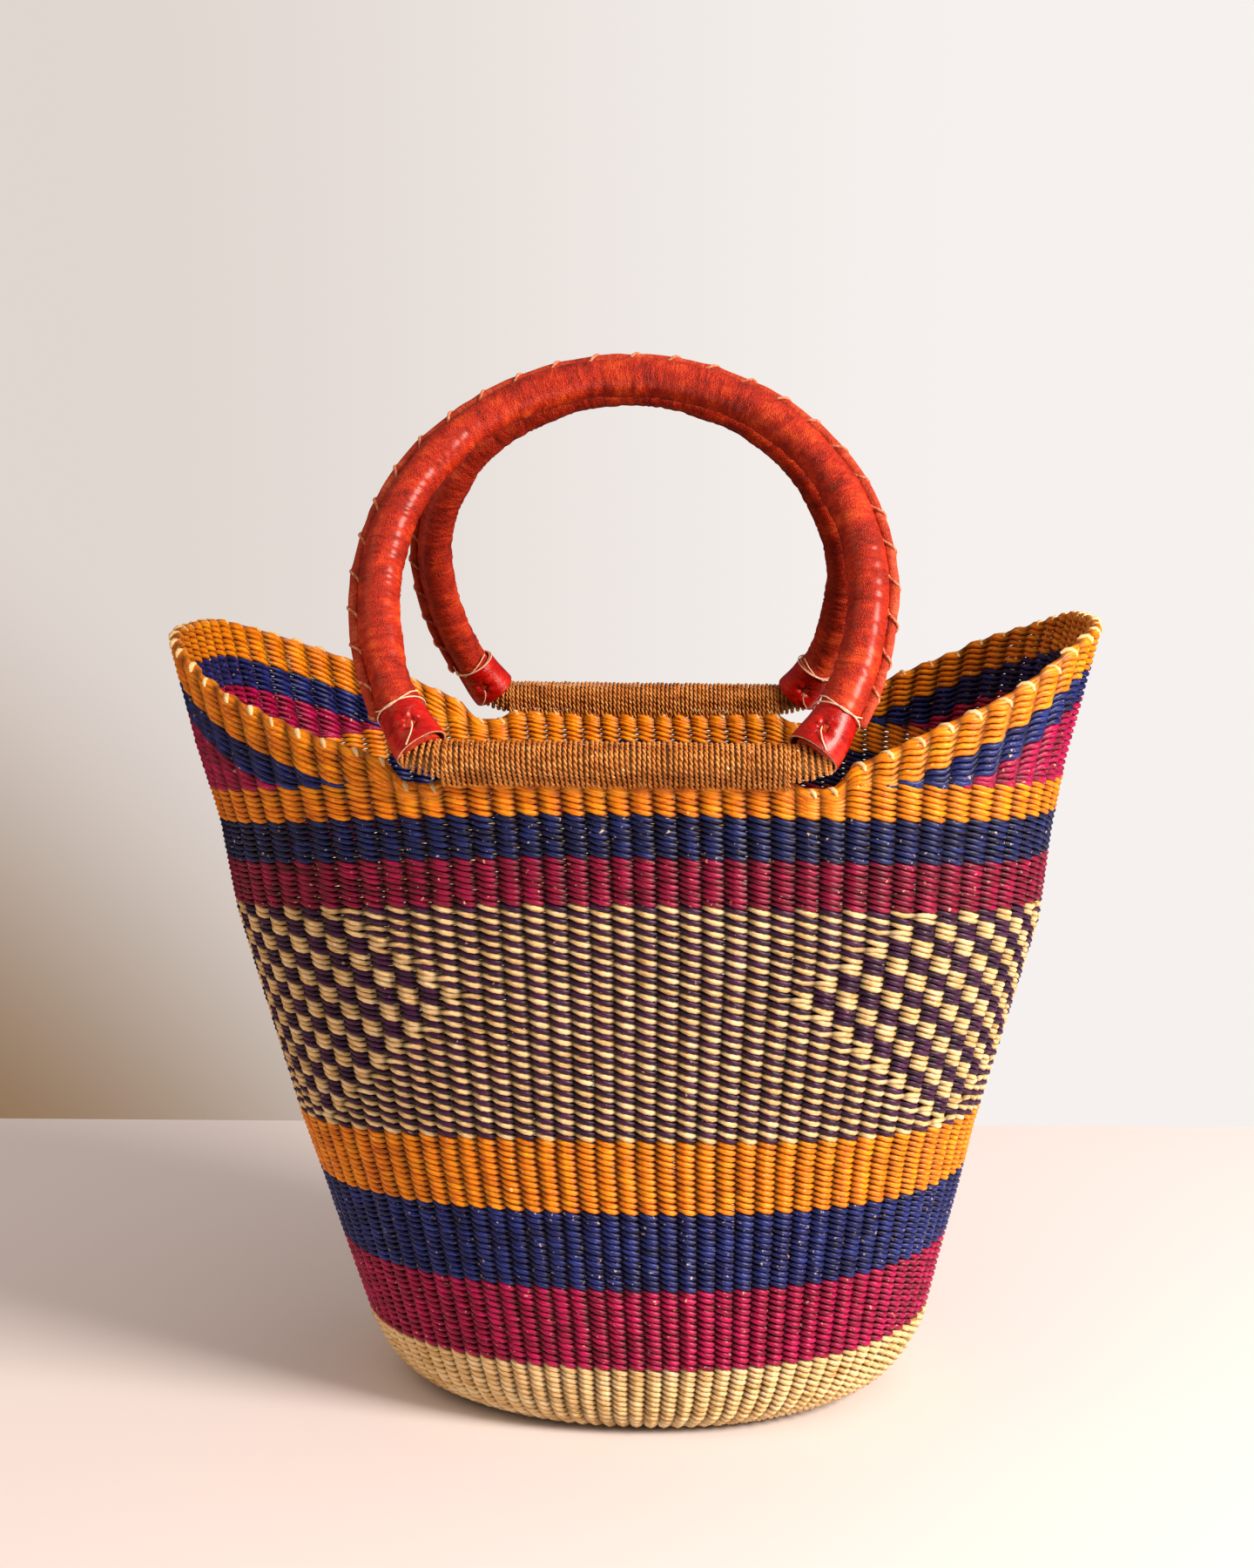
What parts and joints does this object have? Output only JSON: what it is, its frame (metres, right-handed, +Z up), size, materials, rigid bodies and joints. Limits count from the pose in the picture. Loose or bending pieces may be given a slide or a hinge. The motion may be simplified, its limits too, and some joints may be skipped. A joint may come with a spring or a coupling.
{
  "type": "woven market basket",
  "caption": "Oval open basket of twined grass with raised ends and two leather-covered hoop handles that swing on bars lashed to its rim.",
  "frame": {"origin": "on the floor, under the middle of the basket", "axes": "+Z up, X along the length from tip to tip, -Y towards the front"},
  "size_m": [0.4492, 0.2998, 0.5122],
  "materials": {
    "natural_grass": "undyed split elephant grass, twined",
    "magenta_grass": "dyed elephant grass, twined",
    "navy_grass": "dyed elephant grass, twined",
    "orange_grass": "dyed elephant grass, twined",
    "patterned_grass": "natural and dark purple elephant grass, twined in a pattern",
    "twine": "two-ply grass twine",
    "red_leather": "vegetable tanned goat leather, wrinkled, satin",
    "cap_leather": "smooth goat leather, polished by use",
    "tan_thong": "narrow leather thong",
    "waxed_thread": "waxed cotton thread",
    "cane": "bundle of cane and grass",
    "stick": "peeled wooden stick"
  },
  "bodies": {
    "basket": {"base": "natural_grass", "foot_band": "natural_grass", "lower_magenta_band": "magenta_grass", "lower_navy_band": "navy_grass", "lower_orange_band": "orange_grass", "patterned_band": "patterned_grass", "upper_magenta_band": "magenta_grass", "upper_navy_band": "navy_grass", "upper_orange_band": "orange_grass", "left_rim_band": "orange_grass", "left_wing_navy": "navy_grass", "left_wing_magenta": "magenta_grass", "right_rim_band": "orange_grass", "right_wing_navy": "navy_grass", "right_wing_magenta": "magenta_grass", "rim_border": "natural_grass", "stakes": "natural_grass", "front_lashing": "twine", "rear_lashing": "twine"},
    "front_handle": {"front_hoop_core": "cane", "front_leather": "red_leather", "front_welt": "red_leather", "front_lacing": "tan_thong", "front_left_cap": "cap_leather", "front_right_cap": "cap_leather", "front_cap_ties": "waxed_thread", "front_bar": "stick", "front_end_turns": "twine"},
    "rear_handle": {"rear_hoop_core": "cane", "rear_leather": "red_leather", "rear_welt": "red_leather", "rear_lacing": "tan_thong", "rear_left_cap": "cap_leather", "rear_right_cap": "cap_leather", "rear_cap_ties": "waxed_thread", "rear_bar": "stick", "rear_end_turns": "twine"}
  },
  "joints": [
    {"name": "front_handle_swing", "type": "hinge", "parent": "basket", "child": "front_handle", "pos_m": [0, -0.14107, 0.33099], "axis": [1, 0, 0], "range_deg": [-11, 135]},
    {"name": "rear_handle_swing", "type": "hinge", "parent": "basket", "child": "rear_handle", "pos_m": [0, 0.14107, 0.33099], "axis": [-1, 0, 0], "range_deg": [-11, 135]}
  ]
}
